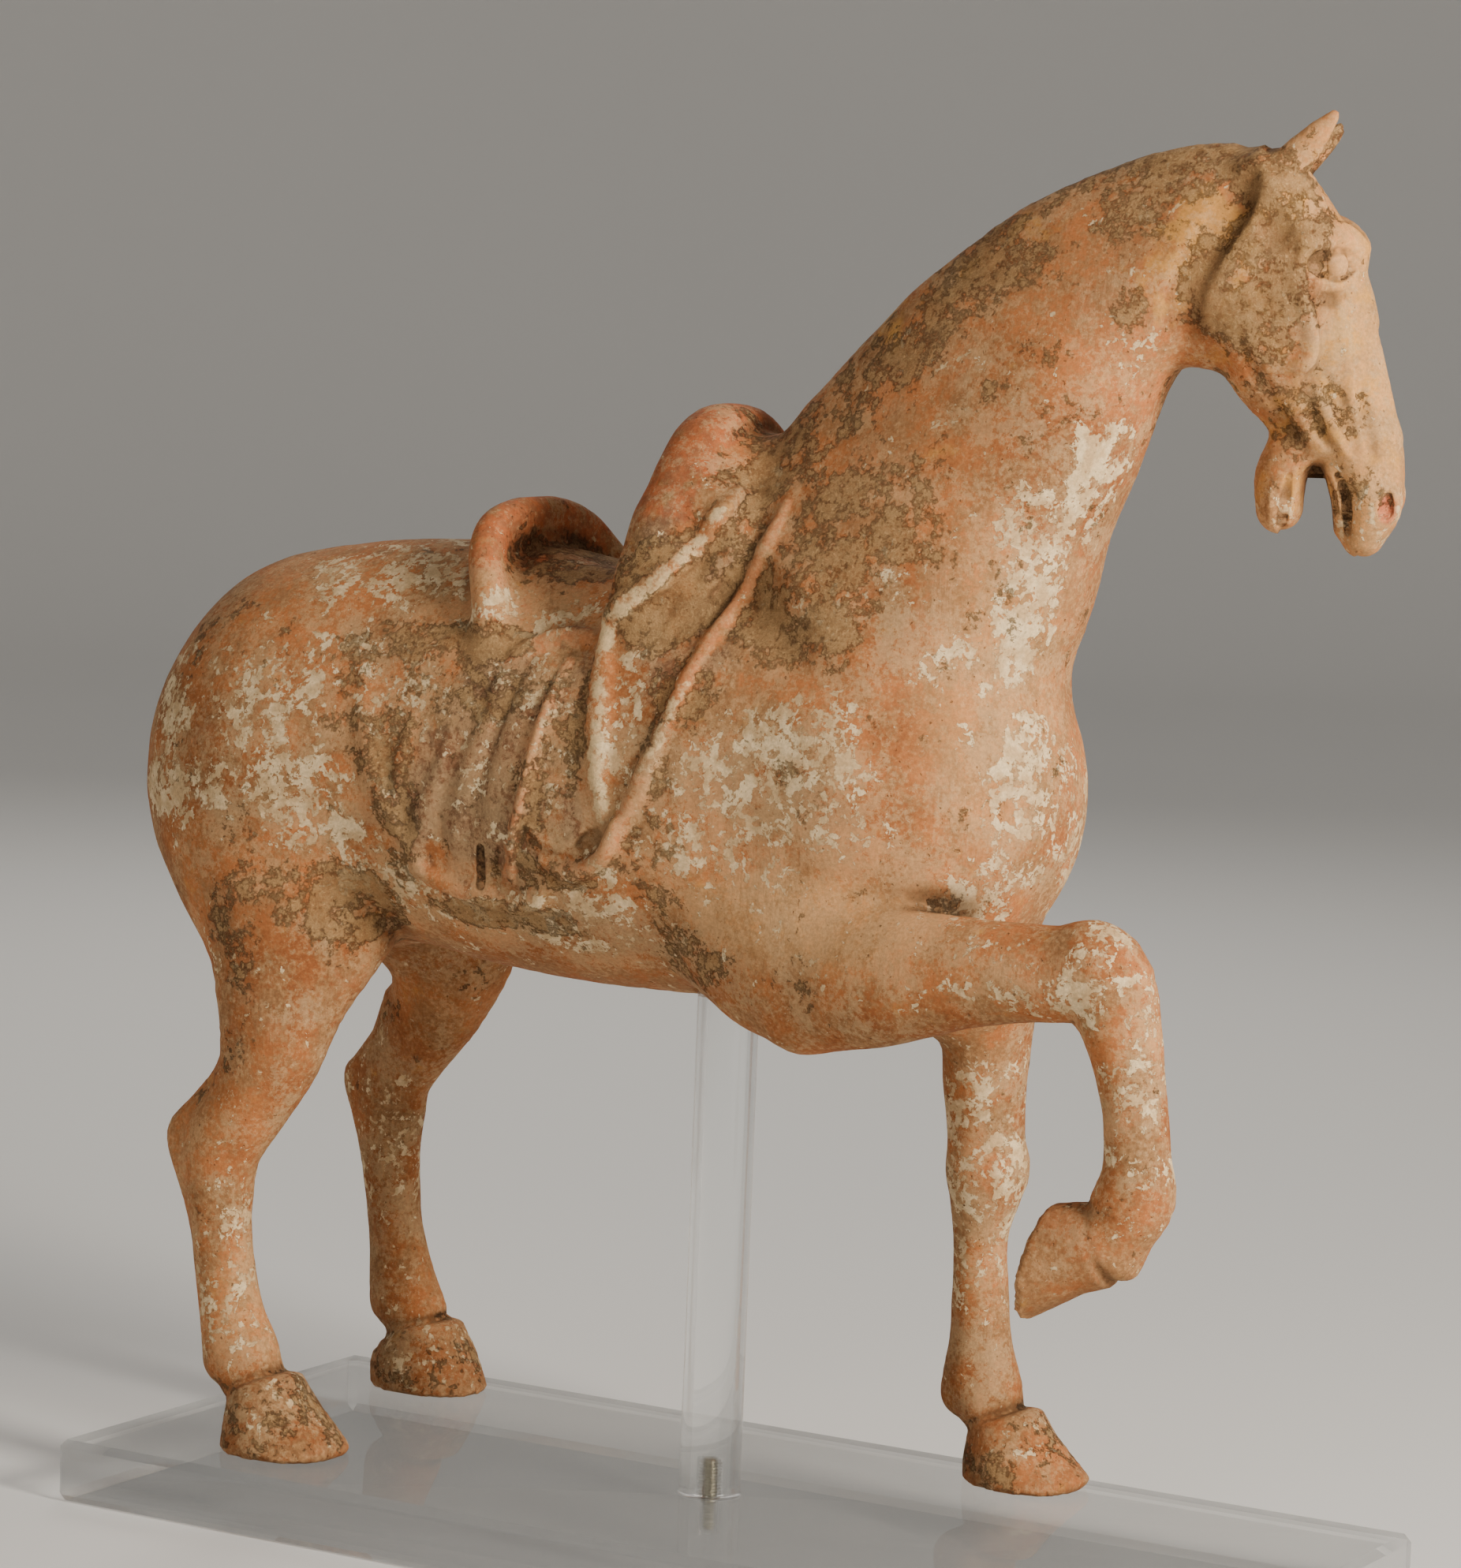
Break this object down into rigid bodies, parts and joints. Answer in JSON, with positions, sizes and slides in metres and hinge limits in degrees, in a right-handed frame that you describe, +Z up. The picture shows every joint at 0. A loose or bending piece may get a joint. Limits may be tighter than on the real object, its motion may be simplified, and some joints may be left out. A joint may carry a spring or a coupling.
{
  "type": "tomb horse on a display mount",
  "caption": "Saddled fired-clay horse striding with one foreleg raised and its mouth open, held at the belly by a clear rod that stands on a clear plate.",
  "frame": {"origin": "middle of the clear plate's underside, which rests on the table", "axes": "+X along the horse's back towards its head, +Y to the horse's own left, +Z up"},
  "size_m": [0.5327, 0.21, 0.568],
  "materials": {
    "fired_clay": "matte, worn paint and earth crust",
    "clear_acrylic": "polished, clear",
    "steel": "bright thread"
  },
  "bodies": {
    "root": {"horse": "fired_clay", "base_plate": "clear_acrylic", "support_rod": "clear_acrylic", "threaded_stud": "steel"}
  },
  "joints": []
}
